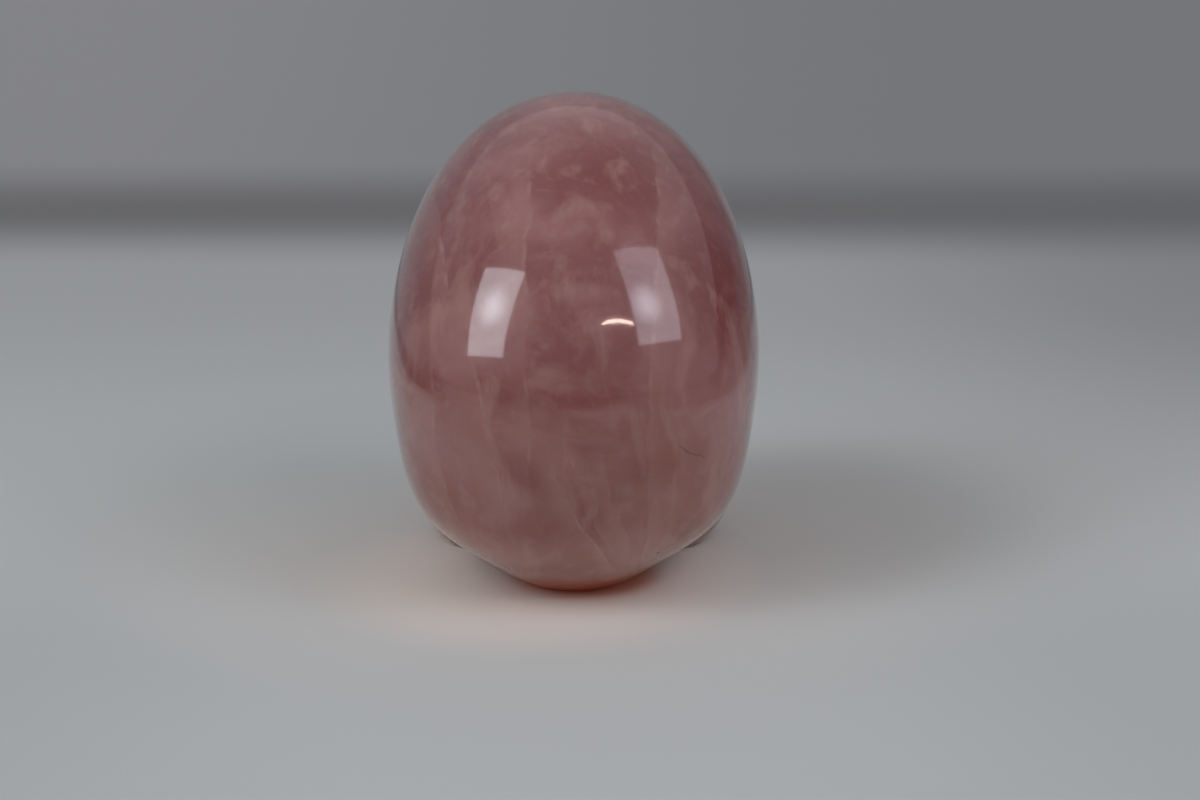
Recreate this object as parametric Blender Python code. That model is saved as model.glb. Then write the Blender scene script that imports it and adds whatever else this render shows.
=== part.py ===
"""A two-inch human skull carved from one piece of rose quartz, ground smooth and polished all over.

The face looks along -Y and the back of the head along +Y. The skull rests on the flat ground under
its jaw and the back of its head, on z = 0. A stone egg is the blank, and the bones of the face are
laid on it or ground out of it, each stroke in millimetres. |x| stands for x wherever a stroke has a
twin on the other side.
"""

import bmesh
import bpy
import numpy as np

MM = 0.001

# The blank: an egg whose long axis dips towards the back, wider at the top and the back
EGG_CENTRE = (0.0, 0.8, 21.9)
EGG_HALF = (17.4, 25.0, 21.4)
EGG_SQUARENESS = (0.0, 0.54, 0.0)
EGG_PITCH_DEG = 31.0
EGG_TOP_SWELL = 0.13
EGG_BACK_SWELL = 0.115
EGG_FOOT_TAPER = 0.76

# The teeth, spread round an arch seen from above
TOOTH_ROWS = ((10.5, 2.2), (6.0, 2.0))
TEETH_EACH_SIDE = 5
TOOTH_PITCH_DEG = 14.5
ARCH_CENTRE = (0.0, -15.05, 8.2)
ARCH_HALF = (7.9, 9.6, 9.0)

# The core that the surface is read outwards from, and how fine the surface is before it is thinned out
CORE_CENTRE = (0.0, -2.0, 20.5)
CORE_HALF = (9.0, 3.0, 15.0)
GRID_LEVELS = 7
RAY_STEP = 0.8
RAY_REFINEMENTS = 10
TRIANGLES = 9000
CUTTER_SIZE = 100.0

QUARTZ_PINK = (0.30, 0.13, 0.13, 1.0)
QUARTZ_ROUGHNESS = 0.12


def squared(share, squareness):
    """Square of a share of a half length, made boxier by its fourth power."""
    square = share * share
    return square * (1.0 + squareness * square) / (1.0 + squareness)


def egg(points):
    """Distance from the blank's surface, measured along the line from its centre."""
    offset = points - np.array(EGG_CENTRE)
    x, y, z = offset.T
    y, z = turned(y, z, -EGG_PITCH_DEG)
    share = np.stack((x, y, z), axis=1) / np.array(EGG_HALF)
    up = np.clip(share[:, 2], -1.2, 1.2)
    back = np.clip(share[:, 1], -1.2, 1.2)
    foot = ((1.0 - up) / 2.0) ** 8
    share[:, 0] /= 1.0 + EGG_TOP_SWELL * up + EGG_BACK_SWELL * back - EGG_FOOT_TAPER * foot
    radius = np.sqrt(sum(squared(share[:, axis], EGG_SQUARENESS[axis]) for axis in range(3)))
    return np.linalg.norm(offset, axis=1) * (1.0 - 1.0 / np.maximum(radius, 1e-6))


def turned(across, along, degrees):
    """Two coordinates in axes that are turned by an angle."""
    angle = np.radians(degrees)
    return (across * np.cos(angle) + along * np.sin(angle),
            along * np.cos(angle) - across * np.sin(angle))


def lump(points, centre, half, square=0.0, turn=0.0, pitch=0.0, roll=0.0):
    """Distance from a rounded lump of these half lengths.

    Turn is about Z, then pitch about X and roll about Y, in degrees.
    """
    x, y, z = (points - np.array(centre)).T
    x, y = turned(x, y, turn)
    y, z = turned(y, z, -pitch)
    x, z = turned(x, z, roll)
    shares = (x / half[0], y / half[1], z / half[2])
    radius = np.sqrt(sum(squared(share, square) for share in shares))
    slope = np.sqrt(sum((share / size) ** 2 for share, size in zip(shares, half)))
    return radius * (radius - 1.0) / np.maximum(slope, 1e-9)


def bar(points, start, end, start_radius, end_radius):
    """Distance from a rounded bar between two points."""
    start, along = np.array(start), np.array(end) - np.array(start)
    share = np.clip((points - start) @ along / (along @ along), 0.0, 1.0)
    radius = start_radius + share * (end_radius - start_radius)
    return np.linalg.norm(points - start - share[:, None] * along, axis=1) - radius


def joined(stone, stroke, blend):
    """The stone with a stroke added, and a fillet of the blend's size between them."""
    share = np.clip(0.5 + 0.5 * (stroke - stone) / blend, 0.0, 1.0)
    return stroke + share * (stone - stroke) - blend * share * (1.0 - share)


def ground(stone, stroke, blend):
    """The stone with a stroke taken out of it."""
    return -joined(-stone, stroke, blend)


def jaws(stone, p):
    """The sides below the ears, both jaws with their angles, and the flat foot between the sides."""
    stone = joined(stone, lump(p, (0.0, 4.5, 14.1), (16.3, 17.5, 10.9), square=0.8), 2.5)
    stone = joined(stone, lump(p, (0.0, 2.5, 12.2), (15.7, 11.5, 11.0), square=0.6), 2.5)
    stone = joined(stone, lump(p, (0.0, -14.5, 12.6), (8.4, 9.8, 6.0), square=0.3), 2.0)
    stone = joined(stone, lump(p, (0.0, -15.5, 4.6), (8.4, 8.6, 5.6), square=0.3), 2.0)
    stone = joined(stone, lump(p, (0.0, -6.0, 4.0), (9.5, 10.0, 5.2), square=0.3), 1.5)
    stone = joined(stone, lump(p, (0.0, -5.5, 8.2), (15.8, 7.5, 10.8), square=1.0), 2.5)
    return joined(stone, bar(p, (6.5, -17.0, 4.6), (10.8, -8.0, 5.6), 3.8, 4.4), 3.0)


def teeth(stone, p):
    """Two rows of teeth round the dental arch."""
    stone = joined(stone, lump(p, ARCH_CENTRE, ARCH_HALF), 1.0)
    for row_height, row_half in TOOTH_ROWS:
        for tooth in range(TEETH_EACH_SIDE):
            turn = TOOTH_PITCH_DEG * (tooth + 0.5)
            across, ahead = np.sin(np.radians(turn)), np.cos(np.radians(turn))
            centre = (ARCH_HALF[0] * across, ARCH_CENTRE[1] - ARCH_HALF[1] * ahead, row_height)
            half = (1.0 + 0.25 * across, 0.9, row_half)
            stone = joined(stone, lump(p, centre, half, square=0.8, turn=turn), 0.3)
    return stone


def cheekbones(stone, p):
    """The cheekbones, the outer rims of the eye sockets and the arches that run back to the ears."""
    stone = joined(stone, lump(p, (10.4, -17.6, 18.6), (4.2, 3.4, 2.8), turn=35), 2.0)
    stone = joined(stone, bar(p, (11.6, -15.8, 27.0), (11.9, -16.2, 19.0), 1.5, 1.8), 2.2)
    stone = joined(stone, bar(p, (12.6, -15.2, 18.6), (15.0, -8.0, 19.2), 2.0, 1.8), 1.8)
    return joined(stone, bar(p, (15.0, -8.0, 19.2), (15.4, 0.0, 20.0), 1.8, 1.4), 2.4)


def brows_and_nose(stone, p):
    stone = joined(stone, bar(p, (1.5, -21.9, 28.4), (6.5, -21.2, 29.4), 1.7, 1.9), 2.2)
    stone = joined(stone, bar(p, (6.5, -21.2, 29.4), (11.4, -16.4, 27.8), 1.9, 1.5), 2.2)
    return joined(stone, bar(p, (0.0, -21.2, 26.8), (0.0, -23.9, 21.8), 1.9, 1.3), 1.4)


def eye_sockets_and_nose_opening(stone, p):
    socket = lump(p, (9.2, -28.6, 24.9), (6.1, 11.4, 5.5), square=0.3, turn=17, pitch=8, roll=10)
    stone = ground(stone, socket, 1.0)
    stone = ground(stone, lump(p, (1.5, -29.0, 16.3), (2.5, 8.6, 2.8)), 0.6)
    return ground(stone, lump(p, (0.0, -29.0, 18.9), (2.4, 8.4, 3.6)), 0.8)


def stone_distance(points):
    """Distance from the finished skull's surface, negative inside."""
    p = points.copy()
    p[:, 0] = np.abs(p[:, 0])
    stone = egg(p)

    # A broader forehead and face than the egg's end gives
    stone = joined(stone, lump(p, (0.0, -7.0, 28.0), (13.6, 15.0, 12.5), square=0.5), 3.0)
    stone = joined(stone, lump(p, (0.0, -9.0, 20.5), (13.0, 13.4, 14.0), square=0.4), 2.0)

    # Temples, and the hollows of the cheeks
    stone = ground(stone, lump(p, (18.0, -11.0, 28.0), (5.0, 9.0, 8.5), turn=-12), 3.0)
    stone = ground(stone, lump(p, (17.6, -16.0, 11.8), (7.2, 8.5, 5.6), turn=-24), 2.5)

    stone = jaws(stone, p)
    stone = cheekbones(stone, p)
    stone = brows_and_nose(stone, p)
    stone = teeth(stone, p)
    return eye_sockets_and_nose_opening(stone, p)


def skull_surface(directions):
    """Where rays that spread from a small core in the stone first leave it."""
    inside = np.zeros(len(directions))
    starts = np.array(CORE_CENTRE) + directions * np.array(CORE_HALF)
    waiting = np.arange(len(directions))
    while len(waiting):
        ahead = inside[waiting] + RAY_STEP
        still_in = stone_distance(starts[waiting] + directions[waiting] * ahead[:, None]) < 0.0
        waiting = waiting[still_in]
        inside[waiting] += RAY_STEP
    outside = inside + RAY_STEP
    for _ in range(RAY_REFINEMENTS):
        middle = (inside + outside) / 2
        out = stone_distance(starts + directions * middle[:, None]) > 0.0
        outside = np.where(out, middle, outside)
        inside = np.where(out, inside, middle)
    return starts + directions * ((inside + outside) / 2)[:, None]


def grid_cube(name, levels):
    """A cube from -1 to 1 with every face cut into a fine grid."""
    mesh = bpy.data.meshes.new(name)
    form = bmesh.new()
    bmesh.ops.create_cube(form, size=2.0)
    bmesh.ops.subdivide_edges(form, edges=form.edges, cuts=2 ** levels - 1, use_grid_fill=True)
    form.to_mesh(mesh)
    form.free()
    return mesh


def mesh_points(mesh):
    points = np.empty(len(mesh.vertices) * 3)
    mesh.vertices.foreach_get("co", points)
    return points.reshape(-1, 3)


def quartz():
    """Milky pink stone with a polish."""
    material = bpy.data.materials.new("rose_quartz")
    material.use_nodes = True
    shader = material.node_tree.nodes["Principled BSDF"]
    shader.inputs["Base Color"].default_value = QUARTZ_PINK
    shader.inputs["Roughness"].default_value = QUARTZ_ROUGHNESS
    shader.inputs["Metallic"].default_value = 0.0
    return material


def add_to(collection_name, item):
    collection = bpy.data.collections.get(collection_name)
    if collection is None:
        collection = bpy.data.collections.new(collection_name)
        bpy.context.scene.collection.children.link(collection)
    collection.objects.link(item)
    return item


def resting_cutter():
    """Everything below the table."""
    mesh = bpy.data.meshes.new("below_table")
    form = bmesh.new()
    bmesh.ops.create_cube(form, size=CUTTER_SIZE * MM)
    bmesh.ops.translate(form, verts=form.verts, vec=(0.0, 0.0, -CUTTER_SIZE / 2 * MM))
    form.to_mesh(mesh)
    form.free()
    cutter = add_to("cutters", bpy.data.objects.new("below_table", mesh))
    cutter.hide_render = True
    cutter.display_type = "WIRE"
    return cutter


def skull():
    mesh = grid_cube("skull", GRID_LEVELS)

    # The tangent spreads the grid evenly over all directions
    directions = np.tan(mesh_points(mesh) * np.pi / 4)
    directions /= np.linalg.norm(directions, axis=1)[:, None]
    surface = skull_surface(directions) * MM
    mesh.vertices.foreach_set("co", surface.ravel())
    mesh.update()
    mesh.shade_smooth()
    mesh.materials.append(quartz())
    piece = add_to("rose_quartz_skull", bpy.data.objects.new("skull", mesh))
    thinning = piece.modifiers.new("thinning", "DECIMATE")
    thinning.ratio = TRIANGLES / (2 * len(mesh.polygons))
    resting = piece.modifiers.new("resting_flat", "BOOLEAN")
    resting.operation = "DIFFERENCE"
    resting.object = resting_cutter()
    return piece


def main():
    for item in list(bpy.data.objects):
        bpy.data.objects.remove(item)
    skull()


main()
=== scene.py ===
import bmesh
import bpy
import numpy as np
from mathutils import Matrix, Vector


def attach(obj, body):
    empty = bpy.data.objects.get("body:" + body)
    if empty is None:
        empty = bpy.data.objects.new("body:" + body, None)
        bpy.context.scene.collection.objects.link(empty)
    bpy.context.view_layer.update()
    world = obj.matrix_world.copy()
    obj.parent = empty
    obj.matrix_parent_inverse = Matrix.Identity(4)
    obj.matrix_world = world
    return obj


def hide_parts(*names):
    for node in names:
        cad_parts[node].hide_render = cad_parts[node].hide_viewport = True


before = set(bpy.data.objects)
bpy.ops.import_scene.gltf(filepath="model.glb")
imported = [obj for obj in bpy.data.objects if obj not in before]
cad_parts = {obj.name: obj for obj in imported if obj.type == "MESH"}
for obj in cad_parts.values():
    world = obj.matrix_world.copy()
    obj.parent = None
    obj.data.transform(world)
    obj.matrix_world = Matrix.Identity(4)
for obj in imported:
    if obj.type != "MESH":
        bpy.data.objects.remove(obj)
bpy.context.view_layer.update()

MM = 0.001

# The skull's driving sizes in millimetres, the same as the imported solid's
EGG_CENTRE = (0.0, 0.8, 21.9)
EGG_HALF = (17.4, 25.0, 21.4)
EGG_SQUARENESS = (0.0, 0.54, 0.0)
EGG_PITCH_DEG = 31.0
EGG_TOP_SWELL = 0.13
EGG_BACK_SWELL = 0.115
EGG_FOOT_TAPER = 0.76
TOOTH_ROWS = ((10.5, 2.2), (6.0, 2.0))
TEETH_EACH_SIDE = 5
TOOTH_PITCH_DEG = 14.5
ARCH_CENTRE = (0.0, -15.05, 8.2)
ARCH_HALF = (7.9, 9.6, 9.0)
CORE_CENTRE = (0.0, -2.0, 20.5)
CORE_HALF = (9.0, 3.0, 15.0)
GRID_LEVELS = 7
RAY_STEP = 0.8
RAY_REFINEMENTS = 12

# The photograph's camera: its lens, its place in millimetres, and how far it looks down
LENS_MM = 105.0
SENSOR_MM = 36.0
CAMERA_AT = (-2.5, 329.9, 104.0)
LOOK_DOWN_DEG = 15.0

# Light panels: the directions of the corners seen from the stone, as azimuth to the picture's right
# of the camera and elevation, the radiance at the bottom edge and at the top edge, the hot spot's
# direction and extra radiance, and the colour
PANELS = {
    "softbox_left": (((-90.0, 46.4), (-57.1, 60.8), (-43.4, 18.3), (-68.6, 14.0)), 2.8, 2.9,
                     (-64.8, 39.4), 3.6, (0.90, 0.94, 1.0)),
    "softbox_right": (((67.0, 69.3), (99.1, 50.4), (75.0, 19.9), (42.8, 25.3)), 1.95, 1.5,
                      (60.9, 42.5), 3.0, (0.90, 0.90, 1.0)),
    "warm_strip": (((21.0, 41.0), (26.5, 42.3), (32.0, 42.1), (38.0, 40.8), (44.6, 38.0),
                    (44.0, 36.3), (38.0, 38.8), (32.0, 40.1), (26.5, 40.4), (21.6, 40.0)),
                   15.0, 15.0, (33.4, 40.5), 1.0, (1.0, 0.75, 0.63)),
}

# The point that the panels stand around, their distance from it, and how far from its middle a hot
# spot can be seen, as a share of one radian
PANEL_MIDDLE = (0.0, 20.0, 28.0)
PANEL_DISTANCE = 650.0
HOT_SPOT_REACH = 0.22

# The room's light at eye level and overhead, the rise of a direction that counts as overhead, and the
# light's colour
ROOM_LOW = 0.292
ROOM_HIGH = 0.438
OVERHEAD = 0.8
ROOM_COLOUR = (0.98, 0.98, 1.0, 1.0)

# The paper backdrop: a table top that bends up into a wall behind the skull
PAPER_HALF_WIDTH = 1800.0
PAPER_FRONT = 900.0
BEND_START = -170.0
BEND_RADIUS = 260.0
BEND_STEPS = 12
WALL_TOP = 320.0

# The paper's colours: the table top, its far part, the painted shade of its bend, the wall on the right
# and on the left of the picture, painted darker on the right and lighter on the left where more light
# falls, and at its top, the painted shade of the dim far corner, the room's dark painted on the paper,
# and the painted shade of the near corners
TABLE = (0.545, 0.568, 0.562)
TABLE_FAR = (0.46, 0.475, 0.48)
BEND_SHADE = (0.205, 0.205, 0.208)
WALL_SHADED_RIGHT = (0.29, 0.30, 0.31)
WALL_LIT_LEFT = (0.37, 0.37, 0.38)
WALL_HIGH = (0.48, 0.48, 0.48)
DIM_CORNER_SHADE = (0.18, 0.19, 0.20)
ROOM_DARK = (0.17, 0.17, 0.17)
NEAR_CORNER_SHADE = (0.42, 0.45, 0.45)

# Painted light and shade on the paper: centre, half lengths, the share of them within which the patch is
# full, its strength and its colour. A wide patch of painted light stands for light that has come through
# the stone; a painted shadow stands for the soft shade the skull throws to the right; nearer the foot the
# painted light is warmer, and reddest against it
PAINTED_LIGHT_AND_SHADE_PATCHES = (
    ((3.0, 4.0, 0.0), (50.0, 44.0, 40.0), 0.3, 1.0, (0.65, 0.642, 0.612)),
    ((-27.0, -14.0, 0.0), (26.0, 34.0, 40.0), 0.2, 0.42, (0.38, 0.38, 0.37)),
    ((3.5, 9.0, 0.0), (24.0, 24.0, 40.0), 0.4, 1.0, (0.84, 0.775, 0.705)),
    ((-1.0, 6.5, 0.0), (8.5, 9.3, 40.0), 0.6, 1.0, (0.72, 0.34, 0.22)),
)

# The stone's colours
DEEP_PINK = (0.250, 0.064, 0.065)
PALE_PINK = (0.345, 0.135, 0.135)
BROWN_PINK = (0.325, 0.113, 0.070)
CLEAR_RED = (0.215, 0.028, 0.030)
MILKY_PINK = (0.368, 0.168, 0.160)
HEALED = (0.480, 0.265, 0.225)
SPECK = (0.400, 0.190, 0.175)
RUST = (0.330, 0.100, 0.045)
BROWN_CRACK = (0.15, 0.045, 0.02)
# Painted shade for a tiny pit
PIT_PAINTED_SHADE = (0.03, 0.015, 0.012)
# Painted light: the glow at the foot, in the colour and in the emission
FOOT_PAINTED_GLOW_RED = (0.27, 0.035, 0.010)
FOOT_PAINTED_GLOW_EMISSION = (1.0, 0.12, 0.03, 1.0)

# The rusty stain, the middle of the brown crack in it (x, z), the crack's slope and half length, and
# the tiny pit that gets a painted shade
STAIN_AT = (-8.4, 23.2, 16.2)
STAIN_HALF = (4.0, 4.0, 2.8)
CRACK_AT = (-11.0, 16.4)
CRACK_SLOPE = 0.70
CRACK_HALF_LENGTH = 1.5
PIT_AT = (-7.9, 16.6, 5.6)

# Healed cracks that show as pale lines: where each crosses the plane near the back (x, z), how far x
# moves for each step up and back, the heights it spans, its half thickness, the width of the paler
# band beside it (negative on the other side) and how pale it is
CROSSING_Y = 22.0
VEILS = (
    ((9.5, 25.7), 0.20, -0.10, (12.0, 37.0), 0.16, 3.6, 0.50),
    ((4.2, 26.0), 0.03, 0.06, (15.0, 41.0), 0.18, 3.0, 0.46),
    ((2.5, 16.0), 0.50, 0.0, (2.5, 17.0), 0.15, 2.4, 0.50),
    ((-7.1, 21.0), -0.04, 0.0, (4.0, 41.0), 0.18, -2.6, 0.50),
    ((0.1, 15.6), 0.37, 0.0, (7.0, 19.0), 0.14, -1.6, 0.40),
    ((-2.9, 14.5), 0.24, 0.0, (4.0, 18.0), 0.14, 2.0, 0.40),
    ((-13.2, 24.0), -0.10, 0.30, (10.0, 34.0), 0.14, -2.2, 0.28),
    ((13.4, 24.0), 0.10, 0.30, (9.0, 33.0), 0.14, 3.0, 0.35),
    ((6.0, 33.0), 0.55, 0.10, (27.0, 39.0), 0.14, -2.5, 0.25),
)

# Clearer, deeper stone: centre, half lengths and strength
CLEAR_ZONES = (
    ((-5.0, 9.5, 40.0), (9.0, 10.0, 6.0), 1.0),
    ((-12.5, 14.0, 31.0), (5.5, 9.0, 9.0), 1.0),
    ((14.0, 18.5, 21.8), (3.6, 5.0, 2.8), 0.5),
    ((6.5, 24.0, 23.6), (5.5, 5.0, 2.2), 0.5),
    ((9.5, 15.0, 34.5), (3.5, 6.0, 3.5), 0.5),
    ((8.0, 12.0, 38.5), (3.5, 6.0, 3.5), 0.6),
    ((0.2, 22.5, 9.8), (2.6, 4.0, 2.6), 0.7),
    ((5.0, 21.5, 9.5), (4.5, 5.0, 2.2), 0.55),
    ((4.5, 24.0, 15.0), (3.0, 4.0, 3.0), 0.6),
    ((-1.0, 25.0, 18.0), (2.2, 4.0, 3.0), 0.5),
    ((-6.0, 24.5, 15.5), (4.0, 4.0, 3.0), 0.5),
    ((2.0, 18.0, 4.5), (6.0, 5.0, 1.5), 0.5),
)

# Milky, paler stone: centre, half lengths and strength
MILKY_ZONES = (
    ((0.5, -1.0, 45.5), (11.0, 11.0, 4.5), 0.6),
    ((-1.4, 22.0, 30.8), (3.2, 3.0, 0.8), 0.7),
    ((12.0, 20.0, 17.0), (5.5, 6.0, 5.0), 0.7),
    ((7.0, 22.0, 12.5), (3.5, 5.0, 3.0), 0.6),
    ((-2.5, 25.0, 21.8), (4.5, 3.0, 0.9), 0.3),
    ((-13.0, 18.0, 16.0), (5.0, 6.0, 6.0), 0.35),
    ((-5.5, 20.0, 7.0), (4.0, 5.0, 3.0), 0.6),
)


def squared(share, squareness):
    """Square of a share of a half length, made boxier by its fourth power."""
    square = share * share
    return square * (1.0 + squareness * square) / (1.0 + squareness)


def turned(across, along, degrees):
    """Two coordinates in axes that are turned by an angle."""
    angle = np.radians(degrees)
    return (across * np.cos(angle) + along * np.sin(angle),
            along * np.cos(angle) - across * np.sin(angle))


def egg(points):
    """Distance from the blank's surface, measured along the line from its centre."""
    offset = points - np.array(EGG_CENTRE)
    x, y, z = offset.T
    y, z = turned(y, z, -EGG_PITCH_DEG)
    share = np.stack((x, y, z), axis=1) / np.array(EGG_HALF)
    up = np.clip(share[:, 2], -1.2, 1.2)
    back = np.clip(share[:, 1], -1.2, 1.2)
    foot = ((1.0 - up) / 2.0) ** 8
    share[:, 0] /= 1.0 + EGG_TOP_SWELL * up + EGG_BACK_SWELL * back - EGG_FOOT_TAPER * foot
    radius = np.sqrt(sum(squared(share[:, axis], EGG_SQUARENESS[axis]) for axis in range(3)))
    return np.linalg.norm(offset, axis=1) * (1.0 - 1.0 / np.maximum(radius, 1e-6))


def lump(points, centre, half, square=0.0, turn=0.0, pitch=0.0, roll=0.0):
    """Distance from a rounded lump, turned about Z, then pitched about X and rolled about Y."""
    x, y, z = (points - np.array(centre)).T
    x, y = turned(x, y, turn)
    y, z = turned(y, z, -pitch)
    x, z = turned(x, z, roll)
    shares = (x / half[0], y / half[1], z / half[2])
    radius = np.sqrt(sum(squared(share, square) for share in shares))
    slope = np.sqrt(sum((share / size) ** 2 for share, size in zip(shares, half)))
    return radius * (radius - 1.0) / np.maximum(slope, 1e-9)


def bar(points, start, end, start_radius, end_radius):
    """Distance from a rounded bar between two points."""
    start, along = np.array(start), np.array(end) - np.array(start)
    share = np.clip((points - start) @ along / (along @ along), 0.0, 1.0)
    radius = start_radius + share * (end_radius - start_radius)
    return np.linalg.norm(points - start - share[:, None] * along, axis=1) - radius


def joined(stone, stroke, blend):
    """The stone with a stroke added, and a fillet of the blend's size between them."""
    share = np.clip(0.5 + 0.5 * (stroke - stone) / blend, 0.0, 1.0)
    return stroke + share * (stone - stroke) - blend * share * (1.0 - share)


def ground(stone, stroke, blend):
    """The stone with a stroke taken out of it."""
    return -joined(-stone, stroke, blend)


def jaws(stone, p):
    """The flanks behind the jaw, the upper and lower jaw, the jaw angles and the jaw bone."""
    stone = joined(stone, lump(p, (0.0, 4.5, 14.1), (16.3, 17.5, 10.9), square=0.8), 2.5)
    stone = joined(stone, lump(p, (0.0, 2.5, 12.2), (15.7, 11.5, 11.0), square=0.6), 2.5)
    stone = joined(stone, lump(p, (0.0, -14.5, 12.6), (8.4, 9.8, 6.0), square=0.3), 2.0)
    stone = joined(stone, lump(p, (0.0, -15.5, 4.6), (8.4, 8.6, 5.6), square=0.3), 2.0)
    stone = joined(stone, lump(p, (0.0, -6.0, 4.0), (9.5, 10.0, 5.2), square=0.3), 1.5)
    stone = joined(stone, lump(p, (0.0, -5.5, 8.2), (15.8, 7.5, 10.8), square=1.0), 2.5)
    return joined(stone, bar(p, (6.5, -17.0, 4.6), (10.8, -8.0, 5.6), 3.8, 4.4), 3.0)


def teeth(stone, p):
    """Two rows of teeth on an arch that stands out of the jaws."""
    stone = joined(stone, lump(p, ARCH_CENTRE, ARCH_HALF), 1.0)
    for row_height, row_half in TOOTH_ROWS:
        for tooth in range(TEETH_EACH_SIDE):
            turn = TOOTH_PITCH_DEG * (tooth + 0.5)
            across, ahead = np.sin(np.radians(turn)), np.cos(np.radians(turn))
            centre = (ARCH_HALF[0] * across, ARCH_CENTRE[1] - ARCH_HALF[1] * ahead, row_height)
            half = (1.0 + 0.25 * across, 0.9, row_half)
            stone = joined(stone, lump(p, centre, half, square=0.8, turn=turn), 0.3)
    return stone


def cheekbones(stone, p):
    """The cheekbones, the outer rims of the eye sockets, and the arches that run back to the ears."""
    stone = joined(stone, lump(p, (10.4, -17.6, 18.6), (4.2, 3.4, 2.8), turn=35), 2.0)
    stone = joined(stone, bar(p, (11.6, -15.8, 27.0), (11.9, -16.2, 19.0), 1.5, 1.8), 2.2)
    stone = joined(stone, bar(p, (12.6, -15.2, 18.6), (15.0, -8.0, 19.2), 2.0, 1.8), 1.8)
    return joined(stone, bar(p, (15.0, -8.0, 19.2), (15.4, 0.0, 20.0), 1.8, 1.4), 2.4)


def brows_and_nose(stone, p):
    """The brow ridges and the bridge of the nose."""
    stone = joined(stone, bar(p, (1.5, -21.9, 28.4), (6.5, -21.2, 29.4), 1.7, 1.9), 2.2)
    stone = joined(stone, bar(p, (6.5, -21.2, 29.4), (11.4, -16.4, 27.8), 1.9, 1.5), 2.2)
    return joined(stone, bar(p, (0.0, -21.2, 26.8), (0.0, -23.9, 21.8), 1.9, 1.3), 1.4)


def eye_sockets_and_nose_opening(stone, p):
    """The eye sockets, and a nose opening that is wider at its foot."""
    socket = lump(p, (9.2, -28.6, 24.9), (6.1, 11.4, 5.5), square=0.3, turn=17, pitch=8, roll=10)
    stone = ground(stone, socket, 1.0)
    stone = ground(stone, lump(p, (1.5, -29.0, 16.3), (2.5, 8.6, 2.8)), 0.6)
    return ground(stone, lump(p, (0.0, -29.0, 18.9), (2.4, 8.4, 3.6)), 0.8)


def stone_distance(points):
    """Distance from the finished skull's surface, negative inside."""
    p = points.copy()
    p[:, 0] = np.abs(p[:, 0])
    stone = egg(p)

    # The forehead and the middle of the face, then the temples and the cheek hollows
    stone = joined(stone, lump(p, (0.0, -7.0, 28.0), (13.6, 15.0, 12.5), square=0.5), 3.0)
    stone = joined(stone, lump(p, (0.0, -9.0, 20.5), (13.0, 13.4, 14.0), square=0.4), 2.0)
    stone = ground(stone, lump(p, (18.0, -11.0, 28.0), (5.0, 9.0, 8.5), turn=-12), 3.0)
    stone = ground(stone, lump(p, (17.6, -16.0, 11.8), (7.2, 8.5, 5.6), turn=-24), 2.5)

    stone = jaws(stone, p)
    stone = cheekbones(stone, p)
    stone = brows_and_nose(stone, p)
    stone = teeth(stone, p)
    stone = eye_sockets_and_nose_opening(stone, p)

    # The foot is ground flat on the table, with its edge barely broken by the polish
    return ground(stone, p[:, 2], 0.25)


def skull_surface(directions):
    """Where rays that spread from a small core in the stone first leave it."""
    inside = np.zeros(len(directions))
    starts = np.array(CORE_CENTRE) + directions * np.array(CORE_HALF)
    waiting = np.arange(len(directions))
    while len(waiting):
        ahead = inside[waiting] + RAY_STEP
        still_in = stone_distance(starts[waiting] + directions[waiting] * ahead[:, None]) < 0.0
        waiting = waiting[still_in]
        inside[waiting] += RAY_STEP
    outside = inside + RAY_STEP
    for _ in range(RAY_REFINEMENTS):
        middle = (inside + outside) / 2
        out = stone_distance(starts + directions * middle[:, None]) > 0.0
        outside = np.where(out, middle, outside)
        inside = np.where(out, inside, middle)
    return starts + directions * ((inside + outside) / 2)[:, None]


def polished_skull():
    """The fine surface of the skull, a grid on a cube spread over all directions."""
    mesh = bpy.data.meshes.new("polished_skull")
    form = bmesh.new()
    bmesh.ops.create_cube(form, size=2.0)
    bmesh.ops.subdivide_edges(form, edges=form.edges, cuts=2 ** GRID_LEVELS - 1, use_grid_fill=True)
    form.to_mesh(mesh)
    form.free()
    points = np.empty(len(mesh.vertices) * 3)
    mesh.vertices.foreach_get("co", points)
    directions = np.tan(points.reshape(-1, 3) * np.pi / 4)
    directions /= np.linalg.norm(directions, axis=1)[:, None]
    mesh.vertices.foreach_set("co", (skull_surface(directions) * MM).ravel())
    mesh.update()
    mesh.shade_smooth()
    piece = bpy.data.objects.new("polished_skull", mesh)
    bpy.context.scene.collection.objects.link(piece)
    return piece


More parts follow.
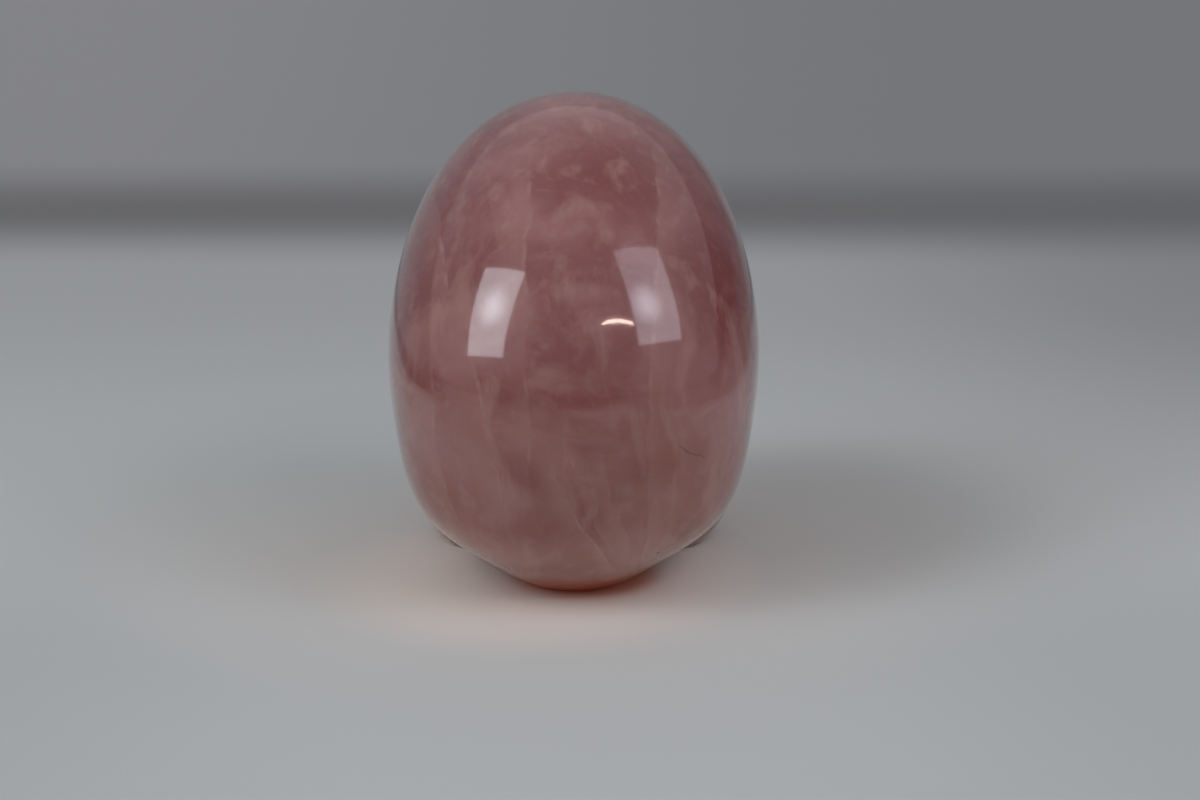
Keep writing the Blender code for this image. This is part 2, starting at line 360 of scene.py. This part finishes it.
class Nodes:
    """Short calls that draw a material's nodes."""

    def __init__(self, material):
        material.use_nodes = True
        self.tree = material.node_tree
        self.shader = self.tree.nodes["Principled BSDF"]

    def put(self, value, socket):
        """Link a node's output to a socket, or set the socket to a plain value."""
        if isinstance(value, bpy.types.NodeSocket):
            self.tree.links.new(value, socket)
        elif value is not None:
            socket.default_value = value

    def math(self, operation, first, second=None, third=None):
        node = self.tree.nodes.new("ShaderNodeMath")
        node.operation = operation
        for value, socket in zip((first, second, third), node.inputs):
            self.put(value, socket)
        return node.outputs[0]

    def vector(self, operation, first, second=None, scale=None):
        node = self.tree.nodes.new("ShaderNodeVectorMath")
        node.operation = operation
        self.put(first, node.inputs[0])
        self.put(second, node.inputs[1])
        self.put(scale, node.inputs[3])
        return node.outputs[1 if operation == "LENGTH" else 0]

    def noise(self, at, scale, detail=2.0, roughness=0.5, output="Fac"):
        node = self.tree.nodes.new("ShaderNodeTexNoise")
        self.put(at, node.inputs["Vector"])
        self.put(scale, node.inputs["Scale"])
        self.put(detail, node.inputs["Detail"])
        self.put(roughness, node.inputs["Roughness"])
        return node.outputs[output]

    def place(self):
        """Where the point lies on the object, in millimetres."""
        place = self.tree.nodes.new("ShaderNodeTexCoord").outputs["Object"]
        return self.vector("SCALE", place, scale=1.0 / MM)

    def parted(self, at):
        """A point's x, y and z."""
        node = self.tree.nodes.new("ShaderNodeSeparateXYZ")
        self.put(at, node.inputs[0])
        return node.outputs

    def smooth(self, value, low, high):
        """0 at low and 1 at high, or the other way round where high is below low."""
        node = self.tree.nodes.new("ShaderNodeMapRange")
        node.interpolation_type = "SMOOTHSTEP"
        self.put(value, node.inputs["Value"])
        falling = low > high
        self.put(min(low, high), node.inputs["From Min"])
        self.put(max(low, high), node.inputs["From Max"])
        self.put(1.0 if falling else 0.0, node.inputs["To Min"])
        self.put(0.0 if falling else 1.0, node.inputs["To Max"])
        return node.outputs["Result"]

    def patch(self, at, centre, half, outer, inner):
        """1 in the middle of a rounded patch, 0 past its edge; both are given as shares of half."""
        offset = self.vector("DIVIDE", self.vector("SUBTRACT", at, centre), half)
        return self.smooth(self.vector("LENGTH", offset), outer, inner)

    def mix(self, share, first, second):
        """The first colour, with a share of the second."""
        node = self.tree.nodes.new("ShaderNodeMix")
        node.data_type = "RGBA"
        self.put(share, node.inputs[0])
        for value, socket in ((first, node.inputs[6]), (second, node.inputs[7])):
            self.put((*value, 1.0) if isinstance(value, tuple) else value, socket)
        return node.outputs[2]


def rose_quartz():
    """Milky pink quartz with clearer depths, pale healed cracks, a stain and a polish."""
    material = bpy.data.materials.new("rose_quartz")
    n = Nodes(material)
    place = n.place()
    drift = n.vector("SUBTRACT", n.noise(place, 0.07, 3.0, output="Color"), (0.5, 0.5, 0.5))
    flowed = n.vector("ADD", place, n.vector("SCALE", drift, scale=7.0))
    x, y, z = n.parted(place)

    # Cloudy stone, slightly milkier and browner in its lower half
    clouds = n.noise(flowed, 0.10, 4.0, 0.5)
    fine = n.noise(flowed, 0.45, 6.0, 0.6)
    colour = n.mix(n.smooth(clouds, 0.38, 0.62), DEEP_PINK, PALE_PINK)
    edge = n.math("MULTIPLY_ADD", clouds, 9.0, z)
    colour = n.mix(n.math("MULTIPLY", n.smooth(edge, 30.0, 21.0), 0.5), colour, BROWN_PINK)

    # Deeper, clearer zones and milky ones
    zone_shares = []
    for zones, tint in ((CLEAR_ZONES, CLEAR_RED), (MILKY_ZONES, MILKY_PINK)):
        share = 0.0
        for centre, half, strength in zones:
            zone = n.math("MULTIPLY", n.patch(flowed, centre, half, 1.2, 0.3), strength)
            share = n.math("MAXIMUM", zone, share)
        share = n.math("MULTIPLY", share, n.smooth(fine, 0.15, 0.50))
        colour = n.mix(share, colour, tint)
        zone_shares.append(share)
    clouded = n.math("MULTIPLY_ADD", zone_shares[0], -0.75, 1.0)

    # Healed cracks: sheets through the stone, each a thin pale line with a paler band on one side
    wander = n.math("SUBTRACT", n.noise(place, 0.09, 2.0, 0.5), 0.5)
    breaks = n.smooth(n.noise(n.vector("MULTIPLY", flowed, (0.5, 0.4, 0.22)), 1.0, 4.0, 0.6), 0.38, 0.66)
    pale = 0.0
    for (cross_x, cross_z), rise, back, (low, high), thickness, band, strength in VEILS:
        across = n.math("MULTIPLY_ADD", n.math("SUBTRACT", z, cross_z), -rise, x)
        across = n.math("MULTIPLY_ADD", n.math("SUBTRACT", y, CROSSING_Y), -back, across)
        across = n.math("MULTIPLY_ADD", wander, 3.0, n.math("SUBTRACT", across, cross_x))
        line = n.smooth(n.math("ABSOLUTE", across), thickness * 2.0, thickness * 0.5)
        beside = n.math("MULTIPLY", across, 1.0 / band)
        beside = n.math("MULTIPLY", n.smooth(beside, 1.0, 0.0), n.smooth(beside, -0.05, 0.03))
        veil = n.math("MAXIMUM", n.math("MULTIPLY", line, breaks), n.math("MULTIPLY", beside, 0.45))
        span = n.math("MULTIPLY", n.smooth(z, low - 2.0, low + 2.0), n.smooth(z, high + 2.0, high - 2.0))
        pale = n.math("MAXIMUM", n.math("MULTIPLY", n.math("MULTIPLY", veil, span), strength), pale)

    # Soft upright bands, and level wisps halfway up
    bands = n.smooth(n.noise(n.vector("MULTIPLY", flowed, (0.33, 0.2, 0.05)), 1.0, 4.0, 0.55), 0.50, 0.72)
    pale = n.math("MAXIMUM", pale, n.math("MULTIPLY", bands, 0.45))
    wisps = n.smooth(n.noise(n.vector("MULTIPLY", flowed, (0.16, 0.15, 0.45)), 1.0, 3.0, 0.5), 0.48, 0.78)
    level = n.math("MULTIPLY", n.smooth(z, 16.0, 21.0), n.smooth(z, 33.0, 24.0))
    pale = n.math("MAXIMUM", pale, n.math("MULTIPLY", n.math("MULTIPLY", wisps, level), 0.42))
    colour = n.mix(pale, colour, HEALED)
    specks = n.math("MULTIPLY", n.smooth(fine, 0.46, 0.78), 0.6)
    colour = n.mix(n.math("MULTIPLY", specks, clouded), colour, SPECK)

    # A rusty stain low on the right with a fine brown crack, and painted shade for a tiny pit
    stain = n.patch(flowed, STAIN_AT, STAIN_HALF, 1.1, 0.2)
    stain = n.math("MULTIPLY", stain, n.smooth(fine, 0.35, 0.65))
    colour = n.mix(n.math("MULTIPLY", stain, 0.7), colour, RUST)
    along = n.math("SUBTRACT", x, CRACK_AT[0])
    across = n.math("MULTIPLY_ADD", along, -CRACK_SLOPE, n.math("SUBTRACT", z, CRACK_AT[1]))
    jitter = n.math("SUBTRACT", n.noise(place, 0.9, 3.0, 0.6), 0.5)
    across = n.math("MULTIPLY_ADD", jitter, 1.2, across)
    length = n.smooth(n.math("ABSOLUTE", along), CRACK_HALF_LENGTH, 0.6 * CRACK_HALF_LENGTH)
    length = n.math("MULTIPLY", length, n.smooth(y, 12.0, 14.0))
    crack = n.math("MULTIPLY", n.smooth(n.math("ABSOLUTE", across), 0.13, 0.03), length)
    colour = n.mix(n.math("MULTIPLY", crack, 0.75), colour, BROWN_CRACK)
    pit_shade = n.patch(place, PIT_AT, (1.0, 5.0, 1.0), 0.42, 0.22)
    colour = n.mix(n.math("MULTIPLY", pit_shade, 0.9), colour, PIT_PAINTED_SHADE)

    # Painted light: a red glow painted into the colour and a faint emission at the foot stand for light
    # that has come through the stone and gathers, warmer, where it meets the table
    foot = n.math("MULTIPLY", n.smooth(z, 3.0, 1.0), n.smooth(y, 7.0, 11.0))
    colour = n.mix(foot, colour, FOOT_PAINTED_GLOW_RED)
    n.put(n.math("MULTIPLY", foot, 0.03), n.shader.inputs["Emission Strength"])
    n.put(FOOT_PAINTED_GLOW_EMISSION, n.shader.inputs["Emission Color"])

    # Colour lies in the stone, the painted glow at the foot and the painted shade of the pit with it;
    # only the polish varies on its surface
    n.put(colour, n.shader.inputs["Base Color"])
    smudges = n.noise(place, 0.35, 4.0, 0.6)
    n.put(n.math("MULTIPLY_ADD", smudges, 0.10, 0.05), n.shader.inputs["Roughness"])
    ripple = n.tree.nodes.new("ShaderNodeBump")
    n.put(0.5, ripple.inputs["Strength"])
    n.put(0.06 * MM, ripple.inputs["Distance"])
    n.put(n.noise(place, 0.22, 2.0, 0.4), ripple.inputs["Height"])
    n.put(ripple.outputs["Normal"], n.shader.inputs["Normal"])
    n.put(1.544, n.shader.inputs["IOR"])
    n.put(0.7, n.shader.inputs["Subsurface Weight"])
    n.put((1.0, 0.5, 0.45), n.shader.inputs["Subsurface Radius"])
    n.put(4.0 * MM, n.shader.inputs["Subsurface Scale"])
    n.put(1.0, n.shader.inputs["Coat Weight"])
    n.put(0.04, n.shader.inputs["Coat Roughness"])
    n.put(1.5, n.shader.inputs["Coat IOR"])
    return material


def backdrop():
    """A pale table top that sweeps up into a plain grey wall behind the skull."""
    profile = [(PAPER_FRONT, 0.0), (BEND_START, 0.0)]
    for step in range(1, BEND_STEPS + 1):
        angle = np.radians(90.0 * step / BEND_STEPS)
        profile.append((BEND_START - BEND_RADIUS * np.sin(angle), BEND_RADIUS * (1.0 - np.cos(angle))))
    profile.append((BEND_START - BEND_RADIUS, WALL_TOP))
    mesh = bpy.data.meshes.new("backdrop")
    form = bmesh.new()
    sides = (-PAPER_HALF_WIDTH, PAPER_HALF_WIDTH)
    rows = [[form.verts.new((x * MM, y * MM, z * MM)) for x in sides] for y, z in profile]
    for near, far in zip(rows, rows[1:]):
        form.faces.new((near[0], near[1], far[1], far[0]))
    form.to_mesh(mesh)
    form.free()
    mesh.shade_smooth()
    sweep = bpy.data.objects.new("backdrop", mesh)
    bpy.context.scene.collection.objects.link(sweep)
    material = bpy.data.materials.new("backdrop_paper")
    n = Nodes(material)
    place = n.place()
    x, y, z = n.parted(place)

    # The table top, the painted shade of its bend, and the wall, painted lighter on the left where more
    # light falls
    colour = n.mix(n.smooth(y, -15.0, -110.0), TABLE, TABLE_FAR)
    colour = n.mix(n.smooth(y, -126.0, -162.0), colour, BEND_SHADE)
    wall = n.mix(n.smooth(x, -60.0, 80.0), WALL_SHADED_RIGHT, WALL_LIT_LEFT)
    colour = n.mix(n.smooth(y, -165.0, -195.0), colour, wall)

    # Painted shade, dimmer towards the far right, painted dark where the unlit room begins, and lighter
    # up the wall
    corner = n.math("MULTIPLY", n.smooth(x, -15.0, -85.0), n.smooth(y, 10.0, -110.0))
    corner = n.math("MULTIPLY", corner, n.smooth(y, -190.0, -165.0))
    colour = n.mix(n.math("MULTIPLY", corner, 0.45), colour, DIM_CORNER_SHADE)
    front = n.smooth(y, 75.0, 260.0)
    side = n.smooth(n.math("ABSOLUTE", n.math("ADD", x, -8.0)), 95.0, 150.0)
    side = n.math("MULTIPLY", side, n.smooth(y, -160.0, -120.0))
    edges = n.math("MAXIMUM", n.math("MAXIMUM", front, side), n.smooth(x, -95.0, -170.0))
    colour = n.mix(edges, colour, ROOM_DARK)
    colour = n.mix(n.smooth(z, 60.0, WALL_TOP), colour, WALL_HIGH)

    # Painted shade: a little less light towards the picture's lower corners
    near = n.math("MULTIPLY", n.smooth(n.math("ABSOLUTE", x), 14.0, 60.0), n.smooth(y, -10.0, 40.0))
    colour = n.mix(n.math("MULTIPLY", near, 0.5), colour, NEAR_CORNER_SHADE)

    # Painted light that has come through the stone, and the skull's painted shadow, laid on the paper
    for centre, half, full_within, strength, tint in PAINTED_LIGHT_AND_SHADE_PATCHES:
        share = n.math("MULTIPLY", n.patch(place, centre, half, 1.0, full_within), strength)
        colour = n.mix(share, colour, tint)
    n.put(colour, n.shader.inputs["Base Color"])
    n.put(0.8, n.shader.inputs["Roughness"])
    mesh.materials.append(material)


def direction(azimuth, elevation):
    """A direction from the stone; azimuth runs to the picture's right of the camera."""
    across, up = np.radians(azimuth), np.radians(elevation)
    return np.array((-np.sin(across) * np.cos(up), np.cos(across) * np.cos(up), np.sin(up)))


def panel(name, corners, bottom, top, hot_at, hot, colour):
    """A softly shining panel around the skull, brighter at its hot spot."""
    middle = np.array(PANEL_MIDDLE)
    points = [middle + PANEL_DISTANCE * direction(*corner) for corner in corners]
    mesh = bpy.data.meshes.new(name)
    mesh.from_pydata([tuple(point * MM) for point in points], [], [tuple(range(len(points)))])
    item = bpy.data.objects.new(name, mesh)
    bpy.context.scene.collection.objects.link(item)
    material = bpy.data.materials.new(name)
    n = Nodes(material)
    place = n.place()
    heights = [point[2] for point in points]
    rise = n.smooth(n.parted(place)[2], min(heights), max(heights))
    way = n.vector("NORMALIZE", n.vector("SUBTRACT", place, PANEL_MIDDLE))
    off_spot = n.vector("LENGTH", n.vector("SUBTRACT", way, tuple(direction(*hot_at))))
    near = n.smooth(off_spot, HOT_SPOT_REACH, 0.0)
    shine = n.math("MULTIPLY_ADD", rise, top - bottom, bottom)
    n.put(n.math("MULTIPLY_ADD", near, hot, shine), n.shader.inputs["Emission Strength"])
    n.put((*colour, 1.0), n.shader.inputs["Emission Color"])
    n.put((0.0, 0.0, 0.0, 1.0), n.shader.inputs["Base Color"])
    mesh.materials.append(material)


def room():
    """The light of the room around the set, brighter overhead."""
    world = bpy.data.worlds.new("room")
    world.use_nodes = True
    tree = world.node_tree
    way = tree.nodes.new("ShaderNodeTexCoord").outputs["Generated"]
    apart = tree.nodes.new("ShaderNodeSeparateXYZ")
    tree.links.new(way, apart.inputs[0])
    rise = tree.nodes.new("ShaderNodeMapRange")
    rise.interpolation_type = "SMOOTHSTEP"
    rise.inputs["From Min"].default_value = 0.0
    rise.inputs["From Max"].default_value = OVERHEAD
    rise.inputs["To Min"].default_value = ROOM_LOW
    rise.inputs["To Max"].default_value = ROOM_HIGH
    tree.links.new(apart.outputs["Z"], rise.inputs["Value"])
    tree.links.new(rise.outputs["Result"], tree.nodes["Background"].inputs["Strength"])
    tree.nodes["Background"].inputs["Color"].default_value = ROOM_COLOUR
    bpy.context.scene.world = world


def studio():
    """The paper, the panels, the room's light and the photograph's camera."""
    backdrop()
    for name, settings in PANELS.items():
        panel(name, *settings)
    room()
    camera = bpy.data.cameras.new("camera")
    camera.lens = LENS_MM
    camera.sensor_width = SENSOR_MM
    item = bpy.data.objects.new("camera", camera)
    item.location = Vector(CAMERA_AT) * MM
    item.rotation_euler = (np.radians(90.0 - LOOK_DOWN_DEG), 0.0, np.pi)
    bpy.context.scene.collection.objects.link(item)
    bpy.context.scene.camera = item
    bpy.context.scene.view_settings.view_transform = "Standard"


skull = polished_skull()
skull.data.materials.append(rose_quartz())
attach(skull, "root")
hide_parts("skull")
studio()
